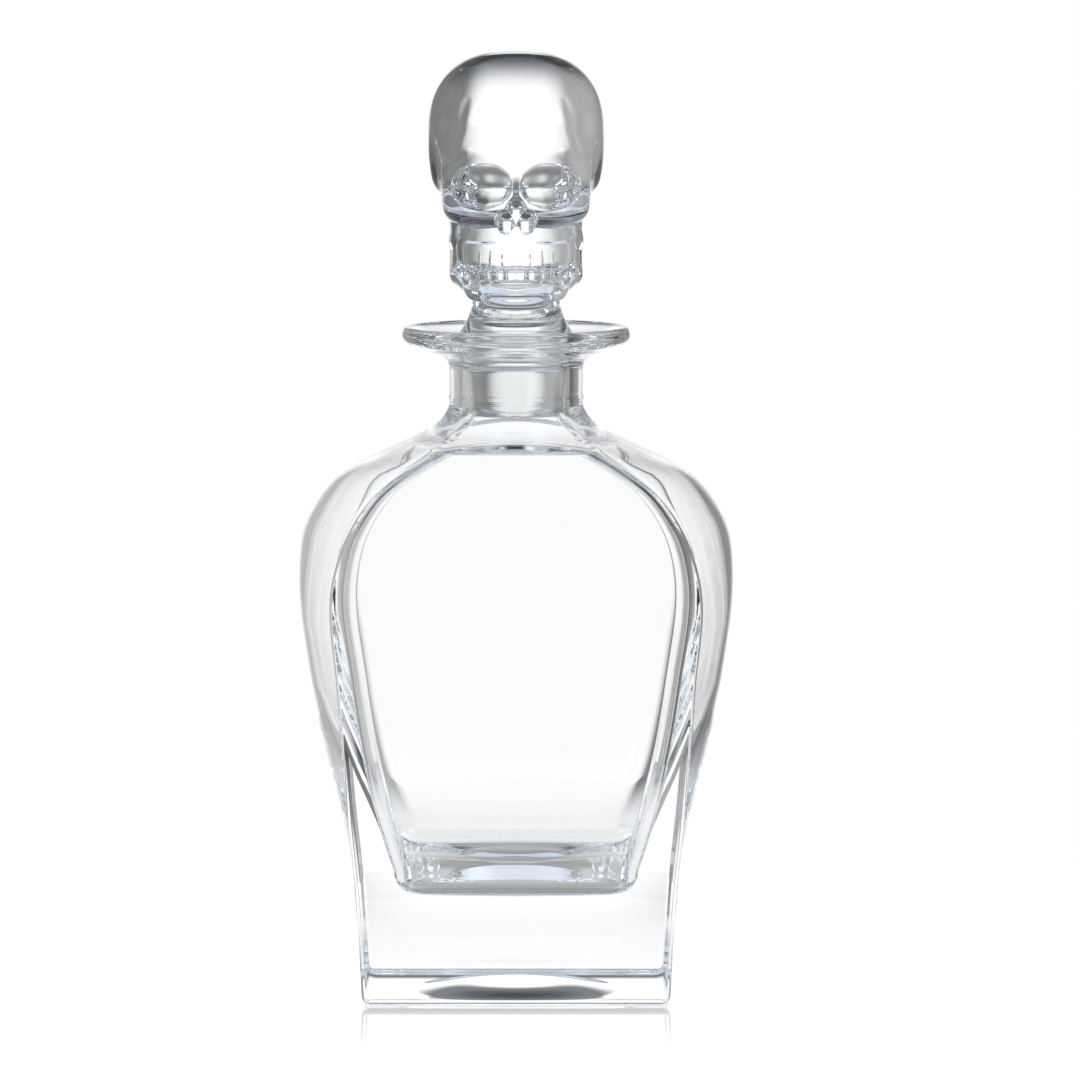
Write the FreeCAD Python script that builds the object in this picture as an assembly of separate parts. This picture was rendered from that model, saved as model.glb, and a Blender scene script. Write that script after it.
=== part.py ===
"""Clear glass liquor decanter with a glass skull for a stopper, in millimetres, +Z up.

The origin is the centre of the base, on the table. The front panel and the skull look along -Y.
"""
import FreeCAD
import Part
import math
import os

# Bottle body: flat front and back panels with rounded flanks between them.
base_width = 87.6
base_depth = 73.0
base_bulge = 0.3
heel_radius = 2.2
panel_width = 104.2
panel_top_width = 45.0
shoulder_width = 126.2
shoulder_top_width = 62.4
widest_height = 118.0
shoulder_rise = 40.4
flare_rise = 9.8
panel_height = widest_height + shoulder_rise
neck_foot = panel_height + flare_rise

# Punt under the base: a shallow round hollow.
punt_width = 59.0
punt_depth = 2.0

# Cavity: a thick floor, and walls that thin towards the shoulder.
floor_thickness = 30.0
floor_radius = 7.0
foot_wall = 12.8
front_wall = 4.6
flank_wall = 4.3
roof_wall = 4.2
throat_drop = 2.2
cavity_roof = panel_height - roof_wall
bore_foot = neck_foot - throat_drop

# Neck and flanged lip.
neck_width = 38.6
neck_wall = 3.8
neck_length = 12.2
lip_width = 66.0
lip_overhang = 4.8
lip_lean = 1.0
rim_flat = 1.2
lip_root_rise = 4.3
lip_edge_rise = 3.1
lip_rim_rise = 3.3
dish_depth = 4.1
seat_ledge = 2.3
bore_width = neck_width - 2 * neck_wall
lip_root = neck_foot + neck_length
lip_underside = lip_root + lip_root_rise
lip_edge_height = lip_underside + lip_edge_rise
lip_height = lip_edge_height + lip_rim_rise
seat_height = lip_height - dish_depth

# Seal: a thin sleeve on the plug, with a flange between the lip's seat and the stopper's foot.
seal_wall = 1.2
seal_tip_wall = 1.0
seal_flange = 0.6
flange_ledge = 1.3
seal_lead = 0.6
foot_height = seat_height + seal_flange

# Stopper: tapered plug, flared foot and skull.
plug_length = 22.7
plug_taper = 1.8
plug_corner = 1.2
foot_ledge = 1.5
foot_rise = 11.4
stopper_neck_width = 24.4
chin_rise = 10.2
skull_height = 72.5
skull_width = 51.0
skull_depth = 61.0
chin_height = foot_height + chin_rise
plug_bottom = foot_height - plug_length

# Clearances, and the overrun of cuts.
plug_clearance = 0.05
bore_clearance = 0.08
overrun = 1.0
plug_top_half = bore_width / 2 - bore_clearance - seal_wall - plug_clearance
plug_bottom_half = plug_top_half - plug_taper

# Outline of the panel and the flank below the widest level: height, panel growth, flank growth.
rise_shares = (
    (0.00, 0.00, 0.00),
    (0.14, 0.11, 0.03),
    (0.27, 0.23, 0.12),
    (0.41, 0.42, 0.31),
    (0.54, 0.56, 0.53),
    (0.67, 0.70, 0.73),
    (0.81, 0.85, 0.88),
    (1.00, 1.00, 1.00),
)
# The same above it: height, and what is left of the panel's and the flank's width.
shoulder_shares = (
    (0.20, 0.945, 0.991),
    (0.36, 0.870, 0.958),
    (0.51, 0.765, 0.876),
    (0.65, 0.630, 0.755),
    (0.78, 0.445, 0.574),
    (0.89, 0.230, 0.305),
    (1.00, 0.000, 0.000),
)
# Flare from the panel's top to the neck: height, and what is left of the flare.
flare_shares = ((0.10, 0.82), (0.34, 0.50), (0.57, 0.27), (0.80, 0.10), (1.00, 0.00))
# Wall beside the panel and in the flank: height in the cavity, and share of the foot's wall.
panel_wall_shares = ((0.0, 1.0), (0.2, 0.66), (0.42, 0.47), (0.65, 0.36), (0.8, 0.28), (1.0, 0.25))
flank_wall_shares = ((0.0, 1.0), (0.12, 0.72), (0.26, 0.38), (0.46, 0.08), (0.6, 0.0), (1.0, 0.0))
cavity_level_shares = (0.11, 0.22, 0.34, 0.46, 0.58, 0.70, 0.79, 0.87, 0.94, 1.00)
corner_shares = (0.0, 0.12, 0.4, 1.0)
# Middles of the lip's and the foot's curves: across and up between their ends.
lip_root_shares = (0.44, 0.67)
lip_edge_shares = (0.72, 0.40)
lip_rim_shares = (0.25, 0.60)
dish_shares = (0.50, 0.62)
foot_shares = (0.66, 0.45)

# Skull from the chin up: height, half-width, face and nape, as shares of the skull's three sizes.
skull_shares = (
    (0.000, 0.400, -0.760, 0.36),
    (0.035, 0.540, -0.870, 0.55),
    (0.090, 0.690, -0.910, 0.67),
    (0.165, 0.740, -0.900, 0.71),
    (0.250, 0.745, -0.870, 0.735),
    (0.320, 0.755, -0.840, 0.77),
    (0.385, 0.830, -0.860, 0.83),
    (0.450, 0.900, -0.880, 0.93),
    (0.540, 0.950, -0.940, 0.99),
    (0.630, 0.980, -0.930, 1.00),
    (0.715, 1.000, -0.885, 0.98),
    (0.795, 0.950, -0.800, 0.91),
    (0.865, 0.860, -0.670, 0.79),
    (0.925, 0.710, -0.500, 0.62),
    (0.965, 0.510, -0.320, 0.43),
    (0.990, 0.270, -0.130, 0.24),
    (1.000, 0.080, 0.000, 0.11),
)
section_points = 16
section_squareness = 2.25
stopper_neck_top_share = 0.09
# Hollows of the face: centre and half-axes, as shares of the half-width, half-depth and height.
socket_shares = ((0.38, -0.94, 0.470), (0.32, 0.32, 0.084))
nose_wing_shares = ((0.085, -0.88, 0.300), (0.10, 0.18, 0.060))
nose_bridge_shares = ((0.0, -0.90, 0.365), (0.075, 0.16, 0.070))
cheek_shares = ((0.52, -0.86, 0.255), (0.24, 0.20, 0.055))
# Teeth: a row of rounded pegs on the arch of each jaw.
tooth_count = 8
tooth_sweep_degrees = 58.0
tooth_arch_shares = (0.60, 0.30, -0.60)
tooth_half_shares = (0.068, 0.055, 0.034)
upper_tooth_share = 0.178
lower_tooth_share = 0.105


def point(x, y, z):
    return FreeCAD.Vector(x, y, z)


def lerp(start, end, share):
    return start + (end - start) * share


def between(start, end, shares):
    """A place in the profile plane, across and up between two others."""
    return lerp(start[0], end[0], shares[0]), lerp(start[1], end[1], shares[1])


def along(shares, at):
    """The value of a table of shares at a place between its rows."""
    for (low, low_value), (high, high_value) in zip(shares, shares[1:]):
        if at <= high:
            return lerp(low_value, high_value, (at - low) / (high - low))
    return shares[-1][1]


def body_stations():
    """Height, panel half-width and flank half-width of each level of the body."""
    stations = []
    for rise, panel, flank in rise_shares:
        height = widest_height * rise
        panel_half = lerp(base_width, panel_width, panel) / 2
        flank_half = lerp(base_width / 2 + base_bulge, shoulder_width / 2, flank)
        stations.append((height, panel_half, flank_half))
    for rise, panel, flank in shoulder_shares:
        height = widest_height + shoulder_rise * rise
        panel_half = lerp(panel_top_width, panel_width, panel) / 2
        flank_half = lerp(shoulder_top_width, shoulder_width, flank) / 2
        stations.append((height, panel_half, flank_half))
    return stations


def body_outline(height):
    """Panel half-width, flank half-width and the flank's slope at any height of the body."""
    stations = body_stations()
    for low, high in zip(stations, stations[1:]):
        if height <= high[0]:
            break
    share = (height - low[0]) / (high[0] - low[0])
    slope = (high[2] - low[2]) / (high[0] - low[0])
    return lerp(low[1], high[1], share), lerp(low[2], high[2], share), slope


def panel_wire(height, panel_half, flank_half, depth_half):
    """One level of the body: straight front and back, an arc for each flank."""
    front_left = point(-panel_half, -depth_half, height)
    front_right = point(panel_half, -depth_half, height)
    back_right = point(panel_half, depth_half, height)
    back_left = point(-panel_half, depth_half, height)
    return Part.Wire([
        Part.LineSegment(front_left, front_right).toShape(),
        Part.Arc(front_right, point(flank_half, 0, height), back_right).toShape(),
        Part.LineSegment(back_right, back_left).toShape(),
        Part.Arc(back_left, point(-flank_half, 0, height), front_left).toShape(),
    ])


def round_wire(height, corner_x, corner_y, front, flank):
    """One level of the flare: four arcs that meet at its corners."""
    front_left = point(-corner_x, -corner_y, height)
    front_right = point(corner_x, -corner_y, height)
    back_right = point(corner_x, corner_y, height)
    back_left = point(-corner_x, corner_y, height)
    return Part.Wire([
        Part.Arc(front_left, point(0, -front, height), front_right).toShape(),
        Part.Arc(front_right, point(flank, 0, height), back_right).toShape(),
        Part.Arc(back_right, point(0, front, height), back_left).toShape(),
        Part.Arc(back_left, point(-flank, 0, height), front_left).toShape(),
    ])


def flare(low, high, panel_half, flank_half, depth_half, radius):
    """The run from a panelled level up to a circle."""
    wires = [panel_wire(low, panel_half, flank_half, depth_half)]
    round_corner = radius * math.sqrt(0.5)
    for rise, left in flare_shares:
        corner_x = lerp(round_corner, panel_half, left)
        corner_y = lerp(round_corner, depth_half, left)
        front = lerp(radius, depth_half, left)
        flank = lerp(radius, flank_half, left)
        wires.append(round_wire(lerp(low, high, rise), corner_x, corner_y, front, flank))
    return Part.makeLoft(wires, True, False)


def cavity_half_widths(height):
    """Panel and flank half-widths of the cavity: the body's, less the wall at that height."""
    panel_half, flank_half, slope = body_outline(height)
    share = (height - floor_thickness) / (cavity_roof - floor_thickness)
    panel_inset = foot_wall * along(panel_wall_shares, share)
    flank_inset = lerp(flank_wall, foot_wall, along(flank_wall_shares, share))
    return panel_half - panel_inset, flank_half - flank_inset * math.sqrt(1 + slope ** 2)


def cavity():
    """The hollow inside the body, from its rounded floor up through the bore."""
    depth_half = base_depth / 2 - front_wall
    wires = []
    for share in corner_shares:
        height = floor_thickness + floor_radius * share
        inset = floor_radius * (1 - math.sqrt(1 - (1 - share) ** 2))
        panel_half, flank_half = cavity_half_widths(height)
        wires.append(panel_wire(height, panel_half - inset, flank_half - inset, depth_half - inset))
    for share in cavity_level_shares:
        height = lerp(floor_thickness, cavity_roof, share)
        panel_half, flank_half = cavity_half_widths(height)
        wires.append(panel_wire(height, panel_half, flank_half, depth_half))
    hollow = Part.makeLoft(wires, True, False)
    roof = flare(cavity_roof, bore_foot, panel_half, flank_half, depth_half, bore_width / 2)
    bore = Part.makeCylinder(bore_width / 2, seat_height - bore_foot + overrun, point(0, 0, bore_foot))
    return hollow.fuse(roof).fuse(bore)


def profile_line(start, end):
    return Part.LineSegment(point(start[0], 0, start[1]), point(end[0], 0, end[1])).toShape()


def profile_arc(start, middle, end):
    return Part.Arc(point(start[0], 0, start[1]), point(middle[0], 0, middle[1]),
                    point(end[0], 0, end[1])).toShape()


def turned(edges):
    """The solid that a closed profile in the XZ plane makes around the Z axis."""
    return Part.Face(Part.Wire(edges)).revolve(point(0, 0, 0), point(0, 0, 1), 360)


def neck_and_lip():
    """The neck and the flanged lip, with a shallow dish down to the stopper's seat."""
    foot = (neck_width / 2, neck_foot)
    root = (neck_width / 2, lip_root)
    under = (lip_width / 2 - lip_overhang, lip_underside)
    edge = (lip_width / 2, lip_edge_height)
    rim = (lip_width / 2 - lip_lean, lip_height)
    inner_rim = (rim[0] - rim_flat, lip_height)
    seat = (bore_width / 2 + seat_ledge, seat_height)
    return turned([
        profile_line((0, neck_foot), foot),
        profile_line(foot, root),
        profile_arc(root, between(root, under, lip_root_shares), under),
        profile_arc(under, between(under, edge, lip_edge_shares), edge),
        profile_arc(edge, between(edge, rim, lip_rim_shares), rim),
        profile_line(rim, inner_rim),
        profile_arc(inner_rim, between(inner_rim, seat, dish_shares), seat),
        profile_line(seat, (0, seat_height)),
        profile_line((0, seat_height), (0, neck_foot)),
    ])


def punt():
    """A shallow ball-shaped hollow under the base."""
    radius = ((punt_width / 2) ** 2 + punt_depth ** 2) / (2 * punt_depth)
    return Part.makeSphere(radius, point(0, 0, punt_depth - radius))


def decanter_bottle():
    """Body, flare, neck and lip as one piece of glass, less the cavity and the punt."""
    depth_half = base_depth / 2
    body = Part.makeLoft([panel_wire(*station, depth_half) for station in body_stations()], True, False)
    body = body.makeFillet(heel_radius, [edge for edge in body.Edges if edge.BoundBox.ZMax < heel_radius])
    top = flare(panel_height, neck_foot, panel_top_width / 2, shoulder_top_width / 2, depth_half,
                neck_width / 2)
    return body.fuse(top).fuse(neck_and_lip()).cut(cavity()).cut(punt())


def skull_place(across_share, back_share, height_share):
    """A place in the skull: across and back from its middle, up from its chin."""
    return point(across_share * skull_width / 2, back_share * skull_depth / 2,
                 chin_height + height_share * skull_height)


def lump(centre, half_shares):
    """A ball, its pole to the front, stretched to shares of the skull's half-width, half-depth and height."""
    stretch = FreeCAD.Matrix()
    stretch.scale(half_shares[0] * skull_width / 2, half_shares[1] * skull_depth / 2,
                  half_shares[2] * skull_height)
    front = point(0, -1, 0)
    ball = Part.makeSphere(1, point(0, 0, 0), front).transformGeometry(stretch)
    ball.translate(centre)
    return ball


def paired_lumps(shares):
    (across, back, height), half_shares = shares
    return [lump(skull_place(side * across, back, height), half_shares) for side in (-1, 1)]


def teeth(height_share):
    """One row of teeth, spread evenly along the front of the jaw's arch."""
    across_share, depth_share, middle_share = tooth_arch_shares
    row = []
    for index in range(tooth_count):
        sweep = lerp(-tooth_sweep_degrees, tooth_sweep_degrees, index / (tooth_count - 1))
        across = across_share * math.sin(math.radians(sweep))
        back = middle_share - depth_share * math.cos(math.radians(sweep))
        row.append(lump(skull_place(across, back, height_share), tooth_half_shares))
    return row


def skull_level(height_share, width_share, face_share, nape_share):
    """One level of the skull: a closed curve, a little squarer than an ellipse."""
    depth_share = (nape_share - face_share) / 2
    middle_share = (nape_share + face_share) / 2
    places = []
    for index in range(section_points):
        angle = 2 * math.pi * index / section_points
        back = math.cos(angle)
        across = math.sin(angle)
        power = abs(back) ** section_squareness + abs(across) ** section_squareness
        reach = power ** (-1 / section_squareness)
        across_share = width_share * reach * across
        back_share = middle_share + depth_share * reach * back
        places.append(skull_place(across_share, back_share, height_share))
    curve = Part.BSplineCurve()
    curve.interpolate(places, PeriodicFlag=True)
    return Part.Wire([curve.toShape()])


def skull():
    """One smooth form from chin to crown, less the hollows of the face, plus the teeth."""
    bone = Part.makeLoft([skull_level(*shares) for shares in skull_shares], True, False)
    (across, back, height), half_shares = nose_bridge_shares
    bone = bone.cut([
        *paired_lumps(socket_shares),
        *paired_lumps(nose_wing_shares),
        *paired_lumps(cheek_shares),
        lump(skull_place(across, back, height), half_shares),
    ])
    return bone.fuse(teeth(upper_tooth_share) + teeth(lower_tooth_share))


def foot_and_plug():
    """The turned half of the stopper: tapered plug, flared foot and the neck into the skull."""
    end = (plug_bottom_half - plug_corner, plug_bottom)
    side = (plug_bottom_half, plug_bottom + plug_corner)
    corner_middle = between(end, side, (math.sqrt(0.5), 1 - math.sqrt(0.5)))
    foot_edge = (bore_width / 2 + foot_ledge, foot_height)
    waist = (stopper_neck_width / 2, foot_height + foot_rise)
    neck_top = chin_height + stopper_neck_top_share * skull_height
    return turned([
        profile_line((0, plug_bottom), end),
        profile_arc(end, corner_middle, side),
        profile_line(side, (plug_top_half, foot_height)),
        profile_line((plug_top_half, foot_height), foot_edge),
        profile_arc(foot_edge, between(foot_edge, waist, foot_shares), waist),
        profile_line(waist, (waist[0], neck_top)),
        profile_line((waist[0], neck_top), (0, neck_top)),
        profile_line((0, neck_top), (0, plug_bottom)),
    ])


def skull_stopper():
    """Skull, foot and plug as one piece of glass."""
    return skull().fuse(foot_and_plug())


def stopper_seal():
    """The sleeve around the plug, with a flange on the lip's seat."""
    bottom = plug_bottom + plug_corner + seal_lead
    taper = plug_taper / (plug_length - plug_corner)
    inner_tip = (plug_bottom_half + taper * seal_lead + plug_clearance, bottom)
    outer_tip = (inner_tip[0] + seal_tip_wall, bottom)
    sleeve = (bore_width / 2 - bore_clearance, seat_height)
    flange = (bore_width / 2 + flange_ledge, seat_height)
    flange_top = (flange[0], foot_height)
    inner_top = (plug_top_half + plug_clearance, foot_height)
    return turned([
        profile_line(inner_tip, outer_tip),
        profile_line(outer_tip, sleeve),
        profile_line(sleeve, flange),
        profile_line(flange, flange_top),
        profile_line(flange_top, inner_top),
        profile_line(inner_top, inner_tip),
    ])


def main():
    os.makedirs("parts", exist_ok=True)
    pieces = {
        "decanter_bottle": decanter_bottle(),
        "skull_stopper": skull_stopper(),
        "stopper_seal": stopper_seal(),
    }
    for name, piece in pieces.items():
        solid = piece.Solids[0]
        print(name, solid.isValid(), len(piece.Solids), round(solid.Volume), solid.optimalBoundingBox())
        solid.exportStep("parts/" + name + ".step")


main()
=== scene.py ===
import math

import bmesh
import bpy
import numpy as np
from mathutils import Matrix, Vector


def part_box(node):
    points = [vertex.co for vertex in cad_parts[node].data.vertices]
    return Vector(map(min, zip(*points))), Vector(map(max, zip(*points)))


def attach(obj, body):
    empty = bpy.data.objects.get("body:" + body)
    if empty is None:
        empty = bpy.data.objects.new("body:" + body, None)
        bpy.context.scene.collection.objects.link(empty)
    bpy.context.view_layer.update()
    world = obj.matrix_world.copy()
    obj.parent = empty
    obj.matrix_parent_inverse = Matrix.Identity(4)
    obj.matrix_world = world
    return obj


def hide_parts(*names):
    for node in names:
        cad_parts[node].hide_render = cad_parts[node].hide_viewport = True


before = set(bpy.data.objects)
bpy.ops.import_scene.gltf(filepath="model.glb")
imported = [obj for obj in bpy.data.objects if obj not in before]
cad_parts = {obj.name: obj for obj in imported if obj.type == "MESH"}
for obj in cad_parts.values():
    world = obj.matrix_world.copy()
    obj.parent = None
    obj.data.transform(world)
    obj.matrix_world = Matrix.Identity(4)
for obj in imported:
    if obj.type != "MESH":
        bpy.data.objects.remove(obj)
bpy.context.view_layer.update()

# The bottle is one piece of clear flint glass, blown in an iron mould and fire polished: flat front and
# back panels with soft arrises, round flanks, a thick solid base with a punt, and a flanged lip.
# Its inner wall was shaped by air alone, so it is a little uneven.
shoulder_half, half_depth, lip_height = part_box("decanter_bottle")[1]
base_half = 0.0438
base_flank_half = 0.0441
panel_half = 0.0521
panel_top_half = 0.0225
shoulder_top_half = 0.0312
heel_radius = 0.0024
arris_radius = 0.0011
most_arris_share = 0.3
flare_arris_gain = 0.012
widest_height = 0.118
panel_height = 0.1584
neck_foot = 0.1690
neck_radius = 0.0193
neck_clear = 0.0004
neck_top = 0.1795
neck_seam_height = 0.1706
neck_seam_reach = 0.0005
neck_seam_rise = 0.0003
lip_outline = ((0.0198, 0.1811), (0.0212, 0.1824), (0.0236, 0.1834), (0.0262, 0.1840), (0.0285, 0.1847),
               (0.0308, 0.1858), (0.0324, 0.1870), (0.0330, 0.1883), (0.0327, 0.1900), (0.0320, lip_height),
               (0.0308, lip_height), (0.0285, 0.1899), (0.0250, 0.1884), (0.0215, 0.1876), (0.0178, 0.1870),
               (0.0161, 0.1870))
punt_radius = 0.0295
punt_depth = 0.0020
punt_shares = ((0, 1), (0.35, 0.98), (0.5, 0.93), (0.65, 0.72), (0.85, 0.28), (1, 0))
bore_radius = 0.0155
bore_top = 0.1864
bore_foot = 0.1685
floor_height = 0.030
floor_corner = 0.0065
cavity_roof = 0.1572
front_wall = 0.0046
cavity_half_depth = half_depth - front_wall
cavity_arris_radius = 0.0055
foot_wall = 0.0128
flank_wall = 0.0043
crest_rise = 0.0020
crest_run = 0.016
foot_thickening = 0.0065
foot_thickening_top = 0.070
floor_sag = 0.0020
rise_shares = ((0, 0, 0), (0.14, 0.11, 0.03), (0.27, 0.23, 0.12), (0.41, 0.42, 0.31), (0.54, 0.56, 0.53),
               (0.67, 0.70, 0.73), (0.81, 0.85, 0.88), (1, 1, 1))
shoulder_shares = ((0.20, 0.945, 0.991), (0.36, 0.870, 0.958), (0.51, 0.765, 0.876),
                   (0.65, 0.630, 0.755), (0.78, 0.445, 0.574), (0.89, 0.230, 0.305), (1, 0, 0))
roof_shares = ((0, 1), (0.026, 0.985), (0.186, 0.68), (0.363, 0.41), (0.566, 0.20), (0.75, 0.08),
               (0.90, 0.015), (1, 0))
roof_flank_shares = ((0, 1), (0.20, 0.745), (0.40, 0.47), (0.60, 0.245), (0.78, 0.105), (0.91, 0.025), (1, 0))
flare_shares = ((0, 1), (0.10, 0.82), (0.31, 0.50), (0.53, 0.245), (0.72, 0.105), (0.88, 0.03),
                (0.97, 0.003), (1, 0))
panel_wall_shares = ((0, 1.0), (0.2, 0.66), (0.42, 0.47), (0.65, 0.36), (0.8, 0.28), (1, 0.25))
flank_wall_shares = ((0, 1.0), (0.12, 0.72), (0.26, 0.38), (0.46, 0.08), (0.6, 0.0), (0.85, 0.0),
                     (0.93, -0.08), (1, -0.22))


def smooth_curve(places, values, at):
    """A natural cubic spline through given points."""
    places, values, at = (np.asarray(numbers, float) for numbers in (places, values, at))
    steps = np.diff(places)
    slopes = np.diff(values) / steps
    system = np.eye(len(places))
    bends = np.zeros(len(places))
    for row in range(1, len(places) - 1):
        system[row, row - 1:row + 2] = steps[row - 1], 2 * (steps[row - 1] + steps[row]), steps[row]
        bends[row] = 6 * (slopes[row] - slopes[row - 1])
    bends = np.linalg.solve(system, bends)
    low = np.clip(np.searchsorted(places, at) - 1, 0, len(places) - 2)
    run, step = at - places[low], steps[low]
    start = slopes[low] - step * (2 * bends[low] + bends[low + 1]) / 6
    return values[low] + run * (start + run * (bends[low] / 2 + run * (bends[low + 1] - bends[low]) / (6 * step)))


def body_halves(height):
    """Half-widths of the panel and of the flank at the given heights."""
    rows = [(widest_height * rise, base_half + (panel_half - base_half) * panel,
             base_flank_half + (shoulder_half - base_flank_half) * flank)
            for rise, panel, flank in rise_shares]
    rows += [(widest_height + (panel_height - widest_height) * rise,
              panel_top_half + (panel_half - panel_top_half) * panel,
              shoulder_top_half + (shoulder_half - shoulder_top_half) * flank)
             for rise, panel, flank in shoulder_shares]
    levels, panels, flanks = zip(*rows)
    return smooth_curve(levels, panels, height), smooth_curve(levels, flanks, height)


def cavity_halves(height):
    """The same for the cavity: the body's, less a wall that thickens towards the base and thins at the shoulder."""
    share = (height - floor_height) / (cavity_roof - floor_height)
    panel, flank = body_halves(height)
    slope = np.gradient(flank, height)
    panel_inset = foot_wall * smooth_curve(*zip(*panel_wall_shares), share)
    flank_inset = flank_wall + (foot_wall - flank_wall) * np.interp(share, *zip(*flank_wall_shares))
    return panel - panel_inset, flank - flank_inset * np.sqrt(1 + slope ** 2)


def levels(height, panel, flank, depth, roundness, arris, crest=0.0):
    """Rows of one stretch of the wall, each with what a ring of it needs."""
    return np.stack(np.broadcast_arrays(height, panel, flank, depth, roundness, arris, crest), axis=1).astype(float)


def turned_levels(profile):
    """Rows of a stretch that is round: points of radius and height, joined by straight runs."""
    radius, height = np.array(profile).T
    return levels(height, radius, radius, radius, 1.0, arris_radius)


def flare_levels(low, high, panel, flank, depth, radius, arris, shares, flank_shares, crest=0.0):
    """Rows of the run from a panelled level to a round one, its arrises soon lost."""
    rise = np.linspace(0, 1, 60)
    left, flank_left = smooth_curve(*zip(*shares), rise), smooth_curve(*zip(*flank_shares), rise)
    height = low + (high - low) * rise
    return levels(height, radius + (panel - radius) * flank_left, radius + (flank - radius) * flank_left,
                  radius + (depth - radius) * left, 1 - left, arris + flare_arris_gain * (1 - left), crest * left)


def bottle_wall():
    """The wall's rows from the middle of the punt, up the outside, over the lip and down the inside."""
    out = np.linspace(0, 1, 24)
    punt = turned_levels(np.stack([punt_radius * out, punt_depth * smooth_curve(*zip(*punt_shares), out)], axis=1))
    turn = np.linspace(0, math.pi / 2, 12)
    panel, flank = body_halves(heel_radius * (1 - np.cos(turn)))
    inset = heel_radius * (1 - np.sin(turn))
    heel = levels(heel_radius * (1 - np.cos(turn)), panel - inset, flank - inset, half_depth - inset, 0.0,
                  arris_radius)
    height = np.linspace(heel_radius, panel_height, 260)[1:]
    crest = crest_rise * np.clip((height - panel_height) / crest_run + 1, 0, 1) ** 2
    body = levels(height, *body_halves(height), half_depth, 0.0, arris_radius, crest)
    flare = flare_levels(panel_height, neck_foot, panel_top_half, shoulder_top_half, half_depth, neck_radius,
                         arris_radius, flare_shares, flare_shares, crest_rise)
    seam = neck_seam_height + neck_seam_reach * np.array([-1.6, -0.7, 0.7, 1.6])
    neck = turned_levels([
        (neck_radius, neck_foot + neck_clear), (neck_radius, seam[0]), (neck_radius + neck_seam_rise, seam[1]),
        (neck_radius + neck_seam_rise, seam[2]), (neck_radius, seam[3]), (neck_radius, neck_top), *lip_outline,
        (bore_radius, bore_top), (bore_radius, bore_foot)])
    level = np.linspace(cavity_roof, floor_height + floor_corner, 220)
    roof_panel, roof_flank = (numbers[0] for numbers in cavity_halves(level))
    roof = flare_levels(cavity_roof, bore_foot, roof_panel, roof_flank, cavity_half_depth, bore_radius,
                        cavity_arris_radius, roof_shares, roof_flank_shares)[::-1]
    panel, flank = cavity_halves(level)
    low = np.clip((foot_thickening_top - level) / (foot_thickening_top - floor_height), 0, 1)
    depth = cavity_half_depth - foot_thickening * low ** 2
    cavity = levels(level, panel, flank, depth, 0.0, cavity_arris_radius)[1:]
    turn = np.linspace(0, math.pi / 2, 16)[1:]
    inset = floor_corner * (1 - np.cos(turn))[:, None]
    bend = levels(floor_height + floor_corner * (1 - np.sin(turn)), *(cavity[-1, 1:4] - inset).T, 0.0,
                  cavity_arris_radius)
    shrink = np.linspace(1, 0, 24)[1:]
    middle = levels(floor_height - floor_sag * (1 - shrink ** 2), *np.outer(bend[-1, 1:4], shrink), 1 - shrink,
                    cavity_arris_radius)
    return np.concatenate([punt, heel, body, flare[1:], neck, roof[1:], cavity, bend, middle])


def eased_rows(rows, spacing=0.00025, reach=0.0005, wide=12, most_turn=math.radians(2.0), most_run=0.0018):
    """The rows with every crease in their profile rounded, as many as their bends need."""
    moves = np.hypot(np.diff(rows[:, 0]), np.abs(np.diff(rows[:, 1:4], axis=0)).max(axis=1))
    keep = np.concatenate([[True], moves > 1e-9])
    rows, moves = rows[keep], moves[moves > 1e-9]
    run = np.concatenate([[0], np.cumsum(moves)])
    even = np.arange(0, run[-1], spacing)
    rows = np.stack([np.interp(even, run, column) for column in rows.T], axis=1)
    spread = np.arange(-wide, wide + 1)
    weights = np.exp(-0.5 * (spread * spacing / reach) ** 2)
    padded = np.concatenate([2 * rows[:1] - rows[wide:0:-1], rows, 2 * rows[-1:] - rows[-2:-wide - 2:-1]])
    eased = sum(weight * padded[wide + step:wide + step + len(rows)] for step, weight in zip(spread, weights))
    eased /= weights.sum()
    kept = [0]
    slope = np.gradient(eased[:, :4], axis=0)
    slope /= np.linalg.norm(slope, axis=1)[:, None] + 1e-12
    for index in range(1, len(eased)):
        turn = math.acos(min(1.0, float(slope[index] @ slope[kept[-1]])))
        if turn > most_turn or (index - kept[-1]) * spacing > most_run or index == len(eased) - 1:
            kept.append(index)
    return eased[kept]


straight_shares = np.array([0.0, 0.16, 0.32, 0.48, 0.62, 0.75, 0.86, 0.93, 0.975, 0.993])
bend_shares = np.linspace(0, 1, 9)
flank_shares = np.array([0.007, 0.025, 0.07, 0.14, 0.22, 0.30, 0.38, 0.46, 0.54, 0.62, 0.70, 0.78, 0.86, 0.93])
corner_turn = math.radians(38)
arris_turn_share = 0.06


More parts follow.
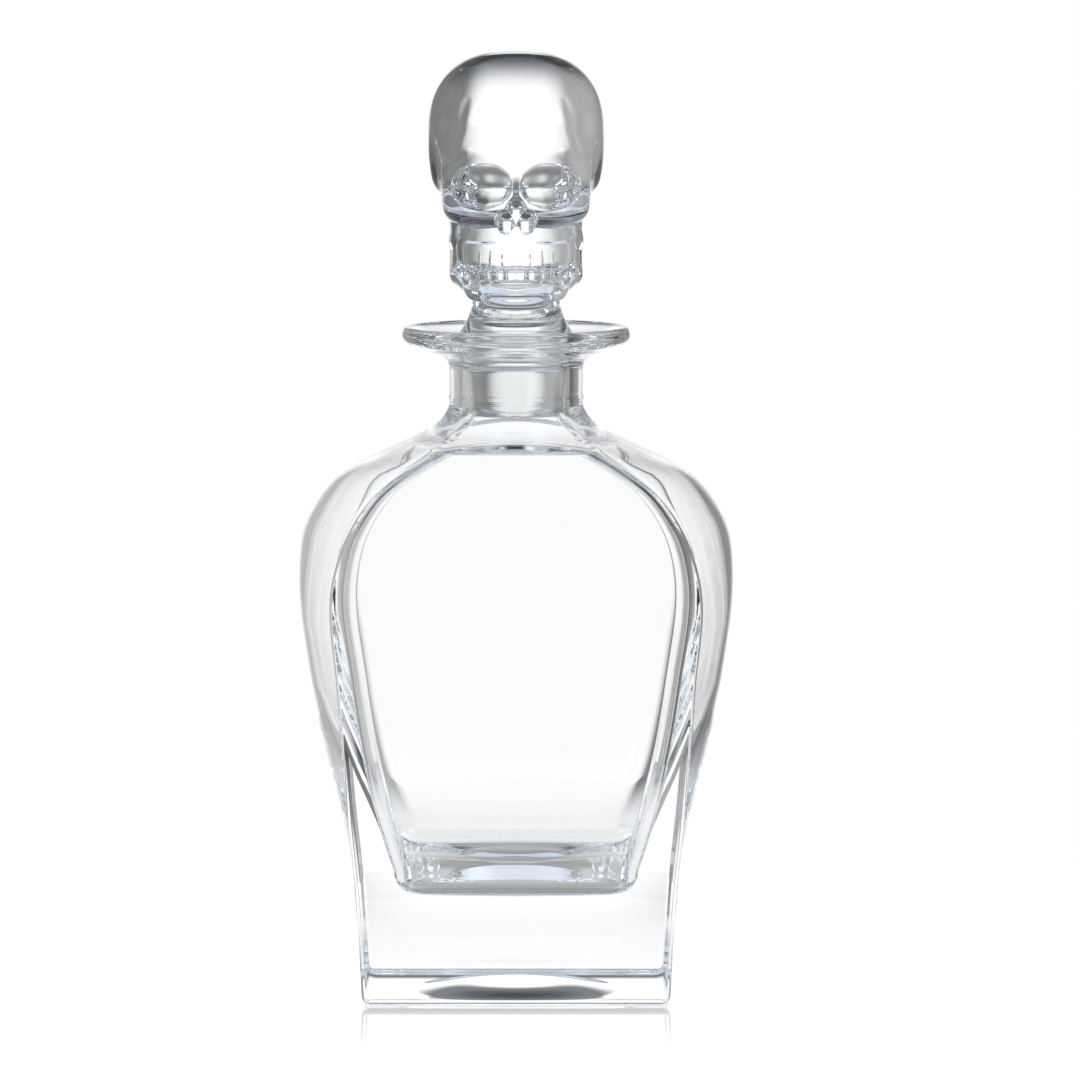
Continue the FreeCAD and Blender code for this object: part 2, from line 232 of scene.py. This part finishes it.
def ring(row):
    """One level of the wall as a closed loop: straight front, arris, flank arc, and their mirror images."""
    height, panel, flank, depth, roundness, arris, crest = row
    bulge = max(flank - panel, 1e-6)
    arc_radius = (depth ** 2 + bulge ** 2) / (2 * bulge)
    arc_middle = flank - arc_radius
    arris = min(arris, most_arris_share * depth, most_arris_share * panel)
    arris_x = arc_middle + math.sqrt(max((arc_radius - arris) ** 2 - (depth - arris) ** 2, 0.0))
    end_turn = math.atan2(arris_x - arc_middle, depth - arris)
    straight = np.stack([arris_x * straight_shares, -depth + 0 * straight_shares], axis=1)
    turns = end_turn * bend_shares
    bend = np.stack([arris_x + arris * np.sin(turns), -depth + arris - arris * np.cos(turns)], axis=1)
    turns = end_turn + (math.pi / 2 - end_turn) * flank_shares
    arc = np.stack([arc_middle + arc_radius * np.sin(turns), -arc_radius * np.cos(turns)], axis=1)
    quarter = np.concatenate([straight, bend, arc])
    bend_start, bend_end = corner_turn * (1 - arris_turn_share), corner_turn * (1 + arris_turn_share)
    turns = np.concatenate([bend_start * straight_shares, bend_start + (bend_end - bend_start) * bend_shares,
                            bend_end + (math.pi / 2 - bend_end) * flank_shares])
    circle = np.stack([flank * np.sin(turns), -flank * np.cos(turns)], axis=1)
    quarter = quarter + (circle - quarter) * roundness
    rise = crest * np.concatenate([1 - straight_shares ** 2, 0 * bend_shares, 0 * flank_shares])
    quarter = np.concatenate([quarter, (height + rise)[:, None]], axis=1)
    half = np.concatenate([quarter, [[flank, 0.0, height]], quarter[::-1] * (1, -1, 1)])
    return np.concatenate([half, half[-2:0:-1] * (-1, 1, 1)])


def piece_from(name, points, faces, material):
    """A smooth-shaded object at the origin, with its faces turned outwards."""
    mesh = bpy.data.meshes.new(name)
    mesh.from_pydata(points, [], faces)
    shape = bmesh.new()
    shape.from_mesh(mesh)
    bmesh.ops.remove_doubles(shape, verts=shape.verts, dist=1e-7)
    bmesh.ops.recalc_face_normals(shape, faces=shape.faces)
    for face in shape.faces:
        face.smooth = True
    shape.to_mesh(mesh)
    shape.free()
    mesh.materials.append(material)
    piece = bpy.data.objects.new(name, mesh)
    bpy.context.scene.collection.objects.link(piece)
    return piece


def loft(rows):
    """Points and faces of a closed skin through the rows, with a pole at each end."""
    rings = [ring(row) for row in rows[1:-1]]
    around = len(rings[0])
    points = np.concatenate([*rings, [[0, 0, rows[0][0]], [0, 0, rows[-1][0]]]])
    faces = []
    for level in range(len(rings) - 1):
        for index in range(around):
            after = (index + 1) % around
            faces.append((level * around + index, level * around + after,
                          (level + 1) * around + after, (level + 1) * around + index))
    first, last = len(points) - 2, len(points) - 1
    top = (len(rings) - 1) * around
    for index in range(around):
        after = (index + 1) % around
        faces.append((after, index, first))
        faces.append((top + index, top + after, last))
    return points, faces


class Value:
    """A value in a node tree: arithmetic on it adds Math nodes."""

    def __init__(self, nodes, socket):
        self.nodes, self.socket = nodes, socket

    def maths(self, operation, first, second):
        return self.nodes.add("ShaderNodeMath", {"operation": operation}, {0: first, 1: second})

    def __add__(self, other): return self.maths("ADD", self, other)
    def __radd__(self, other): return self.maths("ADD", other, self)
    def __sub__(self, other): return self.maths("SUBTRACT", self, other)
    def __rsub__(self, other): return self.maths("SUBTRACT", other, self)
    def __mul__(self, other): return self.maths("MULTIPLY", self, other)
    def __rmul__(self, other): return self.maths("MULTIPLY", other, self)
    def __truediv__(self, other): return self.maths("DIVIDE", self, other)
    def __pow__(self, other): return self.maths("POWER", self, other)
    def at_most(self, other): return self.maths("MINIMUM", self, other)
    def at_least(self, other): return self.maths("MAXIMUM", self, other)


class Nodes:
    """The nodes of one tree, each added with its settings first and its sockets after."""

    def __init__(self, tree):
        self.tree = tree
        tree.nodes.clear()

    def add(self, kind, settings=None, sockets=None, output=0):
        node = self.tree.nodes.new(kind)
        for name, setting in (settings or {}).items():
            setattr(node, name, setting)
        for name, value in (sockets or {}).items():
            if isinstance(value, Value):
                self.tree.links.new(value.socket, node.inputs[name])
            else:
                node.inputs[name].default_value = value
        return Value(self, node.outputs[output]) if node.outputs else node

    def curve(self, value, points):
        """A value read off a line through points."""
        node = self.tree.nodes.new("ShaderNodeFloatCurve")
        line = node.mapping.curves[0].points
        while len(line) < len(points):
            line.new(0.5, 0.5)
        for dot, place in zip(line, points):
            dot.location = place
            dot.handle_type = "VECTOR"
        node.mapping.update()
        self.tree.links.new(value.socket, node.inputs["Value"])
        return Value(self, node.outputs[0])

    def step(self, value, low, high):
        """A soft step from 0 to 1 as a value passes from low to high."""
        return self.add("ShaderNodeMapRange", {"interpolation_type": "SMOOTHSTEP"},
                        {"Value": value, "From Min": low, "From Max": high, "To Min": 0.0, "To Max": 1.0})


def glass(name, density, ripple_scale, ripple_depth, tint=(0.84, 0.88, 0.93)):
    """Clear glass: slow ripples from the mould, a faint film of dust, and a cool colour in its depth."""
    film_scale, film_roughness, glass_ior = 90.0, 0.02, 1.52
    material = bpy.data.materials.new(name)
    material.use_nodes = True
    nodes = Nodes(material.node_tree)
    place = nodes.add("ShaderNodeTexCoord", output=3)
    ripple = nodes.add("ShaderNodeTexNoise", None, {"Vector": place, "Scale": ripple_scale, "Detail": 1.0})
    film = nodes.add("ShaderNodeTexNoise", None, {"Vector": place, "Scale": film_scale, "Detail": 4.0})
    bump = nodes.add("ShaderNodeBump", None, {"Height": ripple, "Strength": 1.0, "Distance": ripple_depth})
    surface = nodes.add("ShaderNodeBsdfPrincipled", None, {
        "Base Color": (1, 1, 1, 1), "Roughness": nodes.step(film, 0.55, 0.8) * film_roughness, "IOR": glass_ior,
        "Transmission Weight": 1.0, "Normal": bump})
    depth = nodes.add("ShaderNodeVolumeAbsorption", None, {"Color": (*tint, 1), "Density": density})
    nodes.add("ShaderNodeOutputMaterial", None, {"Surface": surface, "Volume": depth})
    return material


bottle_glass = glass("bottle_glass", density=2.2, ripple_scale=24.0, ripple_depth=0.00002)
bottle = piece_from("bottle", *loft(eased_rows(bottle_wall())), bottle_glass)
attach(bottle, "bottle")
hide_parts("decanter_bottle")

# The stopper is one piece of pressed clear glass, solid all through: a skull on a round neck, a flared foot
# that stops on the lip, and a tapered plug below it. Its own weight holds it in the neck.
# The skull is sculpted in millimetres from a few stretched balls and bars that run into each other.


def blend(first, second, reach):
    """Two forms run together, with a fillet about as wide as the reach."""
    share = np.clip(0.5 + 0.5 * (second - first) / reach, 0, 1)
    return second + (first - second) * share - reach * share * (1 - share)


def carve(form, hollow, reach):
    """A form less a hollow, with its rim rounded over the reach."""
    return -blend(-form, hollow, reach)


def lump(spot, centre, radii, squareness=2.0, upright=None):
    """Distance from a stretched ball, squarer as its powers in plan and upright grow."""
    away = [np.abs(place - middle) for place, middle in zip(spot, centre)]
    upright = upright or squareness
    plan = sum((part / radius) ** squareness for part, radius in zip(away[:2], radii)) ** (upright / squareness)
    share = (plan + (away[2] / radii[2]) ** upright) ** (1 / upright)
    return np.sqrt(sum(part ** 2 for part in away)) * (1 - 1 / np.maximum(share, 1e-6))


def bar(spot, start, end, start_radius, end_radius):
    """Distance from a rounded bar that may taper."""
    run = np.array(end) - np.array(start)
    away = [place - first for place, first in zip(spot, start)]
    share = np.clip(sum(part * step for part, step in zip(away, run)) / (run @ run), 0, 1)
    gap = np.sqrt(sum((part - share * step) ** 2 for part, step in zip(away, run)))
    return gap - start_radius - (end_radius - start_radius) * share


def chain(spot, stops, reach=1.5):
    """Bars end to end through stops of place and radius."""
    form = None
    for (start, start_radius), (end, end_radius) in zip(stops, stops[1:]):
        link = bar(spot, start, end, start_radius, end_radius)
        form = link if form is None else blend(form, link, reach)
    return form


def turned_form(spot, outline, edge):
    """Distance from a turned solid, from points of radius and height that go past its axis, its edges rounded."""
    radius = np.sqrt(spot[0] ** 2 + spot[1] ** 2) + 0 * spot[2]
    height = spot[2] + 0 * radius
    nearest = np.full(radius.shape, 1e9)
    inside = np.zeros(radius.shape, bool)
    for (r0, z0), (r1, z1) in zip(outline, outline[1:] + outline[:1]):
        along = (radius - r0) * (r1 - r0) + (height - z0) * (z1 - z0)
        share = np.clip(along / ((r1 - r0) ** 2 + (z1 - z0) ** 2), 0, 1)
        nearest = np.minimum(nearest, np.hypot(radius - r0 - share * (r1 - r0), height - z0 - share * (z1 - z0)))
        if z0 != z1:
            crosses = (height >= min(z0, z1)) & (height < max(z0, z1))
            inside ^= crosses & (radius < r0 + (height - z0) * (r1 - r0) / (z1 - z0))
    return np.where(inside, -nearest, nearest) - edge


lower_teeth = ((1.38, -25.4, 1.30), (4.1, -25.0, 1.30), (6.8, -24.0, 1.30), (9.3, -22.4, 1.35), (11.5, -20.2, 1.4))
tooth_gaps = (0.0, 3.7, 7.2, 10.3)
foot_outline = [(-8.0, 165.3), (10.9, 165.3), (11.6, 165.6), (11.95, 166.3), (13.77, 188.0), (16.55, 188.0),
                (15.1, 190.4), (13.6, 193.2), (12.5, 196.2), (11.9, 199.5), (11.8, 206.0), (-8.0, 206.0)]


def skull_form(spot):
    """The whole stopper: bone built up, then hollowed, then given its teeth, neck, foot and plug."""
    seam_softness = 0.2
    spot = (np.sqrt(spot[0] ** 2 + seam_softness), spot[1], spot[2])
    bone = blend(lump(spot, (0, 3, 246.2), (25.3, 27.2, 24.0), 2.4),
                 lump(spot, (0, -9.5, 243.5), (21.0, 18.4, 21.3), 2.7, 2.1), 3)
    bone = blend(bone, lump(spot, (0, 3, 237.2), (24.4, 20, 12), 3.0), 2)
    bone = carve(bone, lump(spot, (26.5, -10.5, 236.5), (4.6, 7, 10)), 2.5)
    bone = carve(bone, lump(spot, (26.0, -22, 249), (8.5, 9, 9)), 2.5)
    ridge = [((18.6, -22.8, 241.5), 0.7), ((17.0, -23.9, 248), 0.6), ((15.4, -22.7, 256), 0.5)]
    bone = carve(bone, chain(spot, ridge), 3.0)
    bone = blend(bone, lump(spot, (0, 3, 217), (15.5, 19.5, 16.5), 2.2, 5.0), 3)
    mask = lump(spot, (0, -12, 231.4), (21.2, 16.4, 11.4), 2.9, 4.4)
    bone = blend(bone, mask, 2)
    brow = [((4.0, -25.2, 237.6), 2.4), ((12, -23.8, 239.2), 2.6), ((18.0, -18.5, 236.5), 2.4)]
    bone = blend(bone, chain(spot, brow), 3)
    jaw = blend(lump(spot, (0, -13, 213.5), (14.0, 12.2, 12), 2.4),
                lump(spot, (0, -19.8, 201.8), (9.4, 6.5, 4.9), 2.2, 4.0), 1.5)
    jaw_edge = [((0, -19.5, 202.6), 4.2), ((10.5, -16.5, 203.4), 4.0), ((15.0, -6, 206.6), 3.7)]
    jaw = blend(jaw, chain(spot, jaw_edge), 2)
    ramus = chain(spot, [((15.6, -5, 206.5), 3.3), ((15.9, -4, 216), 3.0), ((16.0, -2, 225), 2.8)])
    bone = blend(bone, blend(jaw, ramus, 1.2), 1.2)
    bone = blend(bone, lump(spot, (0, -5, 214.5), (15.8, 7.5, 12), 3.0), 1.5)
    sockets = blend(lump(spot, (9.0, -28.2, 232.2), (7.8, 8.8, 6.4)),
                    lump(spot, (12.2, -26.2, 232.3), (5.8, 8.5, 5.8)), 1.0)
    bone = carve(bone, sockets, 0.7)
    nose = blend(lump(spot, (3.0, -28.0, 221.4), (3.0, 6.5, 3.7)),
                 lump(spot, (0, -28.4, 225.0), (2.6, 5.4, 3.8)), 1.0)
    bone = carve(bone, nose, 0.7)
    bone = carve(bone, lump(spot, (11.8, -25.4, 217.6), (4.6, 3.2, 2.4)), 2.5)
    bone = carve(bone, lump(spot, (0, -25.6, 204.6), (9, 2.2, 0.9)), 1.2)
    upper_row = lump(spot, (0, -11.6, 212.6), (14.3, 14.1, 4.0), 2.8, 6.0)
    for across in tooth_gaps:
        front = -26.2 + 0.028 * across ** 2
        upper_row = carve(upper_row, lump(spot, (across, front, 211.2), (0.3, 0.75, 3.0)), 0.7)
    bone = blend(bone, upper_row, 2.0)
    bone = carve(bone, lump(spot, (0, -20, 209.2), (14.5, 6.0, 0.7)), 0.6)
    for across, front, half in lower_teeth:
        bone = blend(bone, lump(spot, (across, front, 207.2), (half, 1.6, 1.9), 2.6), 0.5)
    return blend(bone, turned_form(spot, foot_outline, 0.4), 0.9)


def skin(form, axes):
    """Points and faces of a quad skin where a form's distance is zero, mirrored from one half."""
    field = form(np.meshgrid(*axes, indexing="ij", sparse=True))
    axes = [np.concatenate([-axes[0][:0:-1], axes[0]]), axes[1], axes[2]]
    field = np.concatenate([field[:0:-1], field])
    inside = field < 0
    size = np.array(field.shape) - 1
    corners = [(i, j, k) for i in (0, 1) for j in (0, 1) for k in (0, 1)]
    count = sum(inside[i:i + size[0], j:j + size[1], k:k + size[2]].astype(np.int8) for i, j, k in corners)
    cells = np.argwhere((count > 0) & (count < 8))
    number = np.full(size, -1)
    number[tuple(cells.T)] = np.arange(len(cells))
    total, hits = np.zeros((len(cells), 3)), np.zeros(len(cells))
    faces = []
    for axis in range(3):
        others = [(axis + 1) % 3, (axis + 2) % 3]
        one = np.eye(3, dtype=int)
        for first in (0, 1):
            for second in (0, 1):
                start = cells + first * one[others[0]] + second * one[others[1]]
                end = start + one[axis]
                low, high = field[tuple(start.T)], field[tuple(end.T)]
                crosses = (low < 0) != (high < 0)
                share = np.where(crosses, low / np.where(crosses, low - high, 1), 0)
                place = np.stack([axes[step][start[:, step]] for step in range(3)], axis=1)
                place[:, axis] += share * (axes[axis][end[:, axis]] - axes[axis][start[:, axis]])
                total[crosses] += place[crosses]
                hits += crosses
        start = [slice(None)] * 3
        end = [slice(None)] * 3
        start[axis], end[axis] = slice(0, -1), slice(1, None)
        edges = np.argwhere(inside[tuple(start)] != inside[tuple(end)])
        quad = [number[tuple((edges - first * one[others[0]] - second * one[others[1]]).T)]
                for first, second in ((0, 0), (1, 0), (1, 1), (0, 1))]
        faces.append(np.stack(quad, axis=1))
    points = total / hits[:, None]
    for _ in range(4):
        normals, distance = steepest(form, points)
        points -= normals * np.clip(distance, -0.3, 0.3)[:, None]
    return points, np.concatenate(faces)


def steepest(form, points, reach=0.02):
    """Unit normals of a form at some points, and its distance there."""
    slopes = []
    for axis in range(3):
        nudge = reach * np.eye(3)[axis]
        slopes.append((form(tuple((points + nudge).T)) - form(tuple((points - nudge).T))) / (2 * reach))
    slopes = np.stack(slopes, axis=1)
    steepness = np.linalg.norm(slopes, axis=1)
    return slopes / steepness[:, None], form(tuple(points.T)) / np.maximum(steepness, 0.3)


def graded(*runs):
    """Grid places in runs of start, end and step, each finer where the form has detail."""
    return np.concatenate([np.arange(start, end, step) for start, end, step in runs])


stopper_grid = [graded((0, 16, 0.42), (16, 27, 0.65)), graded((-30, -13, 0.42), (-13, 32, 0.9)),
                graded((164, 187, 1.0), (187, 198, 0.6), (198, 240, 0.42), (240, 272, 0.8))]
stopper_points, stopper_faces = skin(skull_form, stopper_grid)
stopper_glass = glass("stopper_glass", density=2.0, ripple_scale=40.0, ripple_depth=0.00004)
stopper = piece_from("stopper", 0.001 * stopper_points, stopper_faces.tolist(), stopper_glass)
stopper_points = np.array([vertex.co[:] for vertex in stopper.data.vertices])
stopper.data.normals_split_custom_set_from_vertices(steepest(skull_form, 1000 * stopper_points)[0])
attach(stopper, "stopper")
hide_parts("skull_stopper")

# The seal is a thin sleeve of clear soft plastic round the plug, with a flange on top of the neck.
# It grips the bore, is moulded in one piece, and comes away with the stopper.
seal_low, seal_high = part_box("stopper_seal")
seal_outline = ((0.00, 13.58, 166.8), (0.22, 15.38, 186.6), (0.26, 15.45, 187.0), (0.30, 16.7, 187.05),
                (0.32, 16.78, 187.3), (0.34, 16.7, 187.55), (0.40, 14.30, 187.55), (0.70, 13.5, 177.0),
                (0.96, 12.62, 166.8), (1.00, 13.58, 166.8))
seal_around, seal_along = 193, 121
seal_inset, seal_lift, seal_shortening = 0.00002, 0.0001, 0.00015


def sleeve_tree():
    """A grid rolled into a turned sleeve, its outline held by two curves of radius and height."""
    runs, radii, heights = zip(*seal_outline)
    lowest, tallest = min(heights), max(heights) - min(heights)
    tree = bpy.data.node_groups.new("sleeve", "GeometryNodeTree")
    tree.interface.new_socket("Geometry", in_out="OUTPUT", socket_type="NodeSocketGeometry")
    named = [tree.interface.new_socket(name, in_out="INPUT", socket_type=kind) for name, kind in (
        ("Around", "NodeSocketInt"), ("Along", "NodeSocketInt"), ("Radius", "NodeSocketFloat"),
        ("Foot", "NodeSocketFloat"), ("Height", "NodeSocketFloat"), ("Material", "NodeSocketMaterial"))]
    nodes = Nodes(tree)
    entry = tree.nodes.new("NodeGroupInput")
    around, along, radius, foot, height, material = (Value(nodes, socket) for socket in entry.outputs[:6])
    grid = nodes.add("GeometryNodeMeshGrid", None, {
        "Size X": 1.0, "Size Y": 1.0, "Vertices X": around, "Vertices Y": along})
    place = nodes.add("GeometryNodeInputPosition")
    turn = (nodes.add("ShaderNodeSeparateXYZ", None, {0: place}, 0) + 0.5) * math.tau
    run = nodes.add("ShaderNodeSeparateXYZ", None, {0: place}, 1) + 0.5
    reach = nodes.curve(run, [(share, wide / max(radii)) for share, wide in zip(runs, radii)]) * radius
    rise = nodes.curve(run, [(share, (level - lowest) / tallest) for share, level in zip(runs, heights)])
    spot = nodes.add("ShaderNodeCombineXYZ", None, {
        0: reach * nodes.add("ShaderNodeMath", {"operation": "COSINE"}, {0: turn}),
        1: reach * nodes.add("ShaderNodeMath", {"operation": "SINE"}, {0: turn}), 2: rise * height + foot})
    rolled = nodes.add("GeometryNodeSetPosition", None, {"Geometry": grid, "Position": spot})
    closed = nodes.add("GeometryNodeMergeByDistance", None, {"Geometry": rolled, "Distance": 1e-6})
    real = nodes.add("GeometryNodeRealizeInstances", None, {"Geometry": closed})
    dressed = nodes.add("GeometryNodeSetMaterial", None, {"Geometry": real, "Material": material})
    nodes.add("NodeGroupOutput", None, {0: dressed})
    return tree, [socket.identifier for socket in named]


def grown(name, tree, values):
    """The mesh that a node tree makes with the given inputs, as an object of its own."""
    bare = bpy.data.objects.new(name + "_bare", bpy.data.meshes.new(name + "_bare"))
    bpy.context.scene.collection.objects.link(bare)
    modifier = bare.modifiers.new("grow", "NODES")
    modifier.node_group, identifiers = tree
    for identifier, value in zip(identifiers, values):
        modifier[identifier] = value
    bpy.context.view_layer.update()
    mesh = bpy.data.meshes.new_from_object(bare.evaluated_get(bpy.context.evaluated_depsgraph_get()))
    bpy.data.objects.remove(bare)
    points = np.array([vertex.co[:] for vertex in mesh.vertices])
    return points, [tuple(face.vertices) for face in mesh.polygons]


def soft_plastic(name):
    """Clear soft plastic: a little milky, its gloss broken by a fine bloom."""
    material = bpy.data.materials.new(name)
    material.use_nodes = True
    nodes = Nodes(material.node_tree)
    place = nodes.add("ShaderNodeTexCoord", output=3)
    bloom = nodes.add("ShaderNodeTexNoise", None, {"Vector": place, "Scale": 220.0, "Detail": 3.0})
    surface = nodes.add("ShaderNodeBsdfPrincipled", None, {
        "Base Color": (0.97, 0.98, 0.98, 1), "Roughness": 0.02 + bloom * 0.04, "IOR": 1.25,
        "Transmission Weight": 1.0})
    nodes.add("ShaderNodeOutputMaterial", None, {"Surface": surface})
    return material


seal_plastic = soft_plastic("seal_plastic")
seal_points, seal_faces = grown("seal", sleeve_tree(), (
    seal_around, seal_along, seal_high[0] - seal_inset, seal_low[2] + seal_lift,
    seal_high[2] - seal_low[2] - seal_shortening, seal_plastic))
seal = piece_from("seal", seal_points, seal_faces, seal_plastic)
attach(seal, "seal")
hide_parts("stopper_seal")

# What it stands on is no part of it: a small pale board with a little gloss, white to the camera.
# Through the glass the board glows with a painted shadow, darker under the object, and with painted studio light as
# bright as the studio at its rim.
class StudioNodes(Nodes):
    """Nodes that also know where the studio's white panels stand."""

    def studio(self, across, back, fall, rise):
        """Light from a direction: a panel behind, dimmer ones at both sides and front right, and what they spill."""
        high = self.step(rise, 0.0, 0.12)
        behind = self.step(back, 0.90 + 0.05 * high, 0.99 + 0.007 * high)
        beside = 0.62 * self.step((across * across) ** 0.5, 0.92, 0.99)
        front_right = 0.8 * self.step((across - back) * 0.7071, 0.88, 0.985)
        panels = behind.at_least(beside).at_least(front_right)
        panels = panels * self.step(fall, 0.74, 0.34) * self.step(rise, 0.38, 0.22)
        spill_behind = self.step(back, 0.30, 0.95) * self.step(fall, 0.70, 0.30) * self.step(rise, 0.70, 0.30)
        spill_back_left = self.step(back - across, 1.20, 1.36) * self.step(fall, 0.70, 0.50)
        return 0.04 + 0.20 * spill_behind + 0.24 * spill_back_left + 0.89 * panels


floor_radius = 0.20
floor_drop = 0.0002
floor_white = 1.19
floor_mesh = bpy.data.meshes.new("floor")
floor_shape = bmesh.new()
bmesh.ops.create_circle(floor_shape, cap_ends=True, segments=128, radius=floor_radius)
bmesh.ops.translate(floor_shape, verts=floor_shape.verts, vec=(0, 0, -floor_drop))
floor_shape.to_mesh(floor_mesh)
floor_shape.free()
floor = bpy.data.objects.new("floor", floor_mesh)
bpy.context.scene.collection.objects.link(floor)
floor_material = bpy.data.materials.new("floor")
floor_material.use_nodes = True
nodes = StudioNodes(floor_material.node_tree)
through_glass = nodes.add("ShaderNodeLightPath", None, None, 6)
place = nodes.add("ShaderNodeTexCoord", output=3)
across, back = (nodes.add("ShaderNodeSeparateXYZ", None, {0: place}, output) for output in range(2))
away = (across * across + back * back) ** 0.5
rim = nodes.step(away, 0.10, 0.19)
# Painted shadow: seen through the glass, the board's glow is darker under the object.
painted_shadow_under_object = 1.04 - 0.7 * nodes.step(away, 0.06, 0.035)
# Painted studio light: toward its rim, the board seen through the glass glows as the studio's panels light that
# direction.
painted_light_through_glass = painted_shadow_under_object + (nodes.studio(across / away, back / away, 0.0, 0.0) - painted_shadow_under_object) * rim
board = nodes.add("ShaderNodeBsdfDiffuse", None, {"Color": (0.9, 0.9, 0.9, 1)})
glow = nodes.add("ShaderNodeEmission", None, {
    "Color": (1, 1, 1, 1), "Strength": floor_white + (painted_light_through_glass - floor_white) * through_glass})
gloss = nodes.add("ShaderNodeBsdfGlossy", None, {"Color": (1, 1, 1, 1), "Roughness": 0.03})
shine = 1.6 * nodes.add("ShaderNodeFresnel", None, {"IOR": 1.5}).at_most(0.55) * nodes.step(away, 0.125, 0.05)
pale = nodes.add("ShaderNodeMixShader", None, {0: 0.85 + 0.15 * rim, 1: board, 2: glow})
surface = nodes.add("ShaderNodeMixShader", None, {0: shine, 1: pale, 2: gloss})
nodes.add("ShaderNodeOutputMaterial", None, {"Surface": surface})
floor_mesh.materials.append(floor_material)

# The light: the studio's panels in a dark room, two lamps high in front and a cooler soft light overhead.
# The camera sees plain white.
world = bpy.data.worlds.new("studio")
bpy.context.scene.world = world
world.use_nodes = True
nodes = StudioNodes(world.node_tree)
heading = nodes.add("ShaderNodeTexCoord")
across, back, up = (nodes.add("ShaderNodeSeparateXYZ", None, {0: heading}, output) for output in range(3))
level_run = (across * across + back * back) ** 0.5
camera_ray = nodes.add("ShaderNodeLightPath", None, None, 0)
studio = nodes.studio(across / level_run, back / level_run, -1 * up, up)
towards_lamp = (across * across) ** 0.5 * 0.62 - back * 0.52 + up * 0.59
lamps, overhead = 3.0 * nodes.step(towards_lamp, 0.955, 0.985), 0.8 * nodes.step(up, 0.62, 0.85)
level = (studio + (lamps + overhead)) * (1 - camera_ray) + camera_ray
cool = nodes.step(up, 0.30, 0.60) * (1 - camera_ray)
light = nodes.add("ShaderNodeCombineColor", None, {
    0: level * (1 - 0.14 * cool), 1: level * (1 - 0.04 * cool), 2: level * (1 + 0.10 * cool)})
backdrop = nodes.add("ShaderNodeBackground", None, {"Color": light, "Strength": 1.0})
nodes.add("ShaderNodeOutputWorld", None, {"Surface": backdrop})

# The camera stands at the photograph's place: far off, a little above, looking slightly down.
camera_data = bpy.data.cameras.new("camera")
camera = bpy.data.objects.new("camera", camera_data)
bpy.context.scene.collection.objects.link(camera)
bpy.context.scene.camera = camera
camera.location = (0, -1.30, 0.2775)
camera.rotation_euler = (math.radians(90 - 6.51), 0, 0)
camera_data.sensor_width = 36
camera_data.lens = 150.83
camera_data.shift_x = 0.0221
bpy.context.scene.view_settings.view_transform = "Standard"
bpy.context.scene.cycles.max_bounces = 64
bpy.context.scene.cycles.transmission_bounces = 64
bpy.context.scene.cycles.glossy_bounces = 64
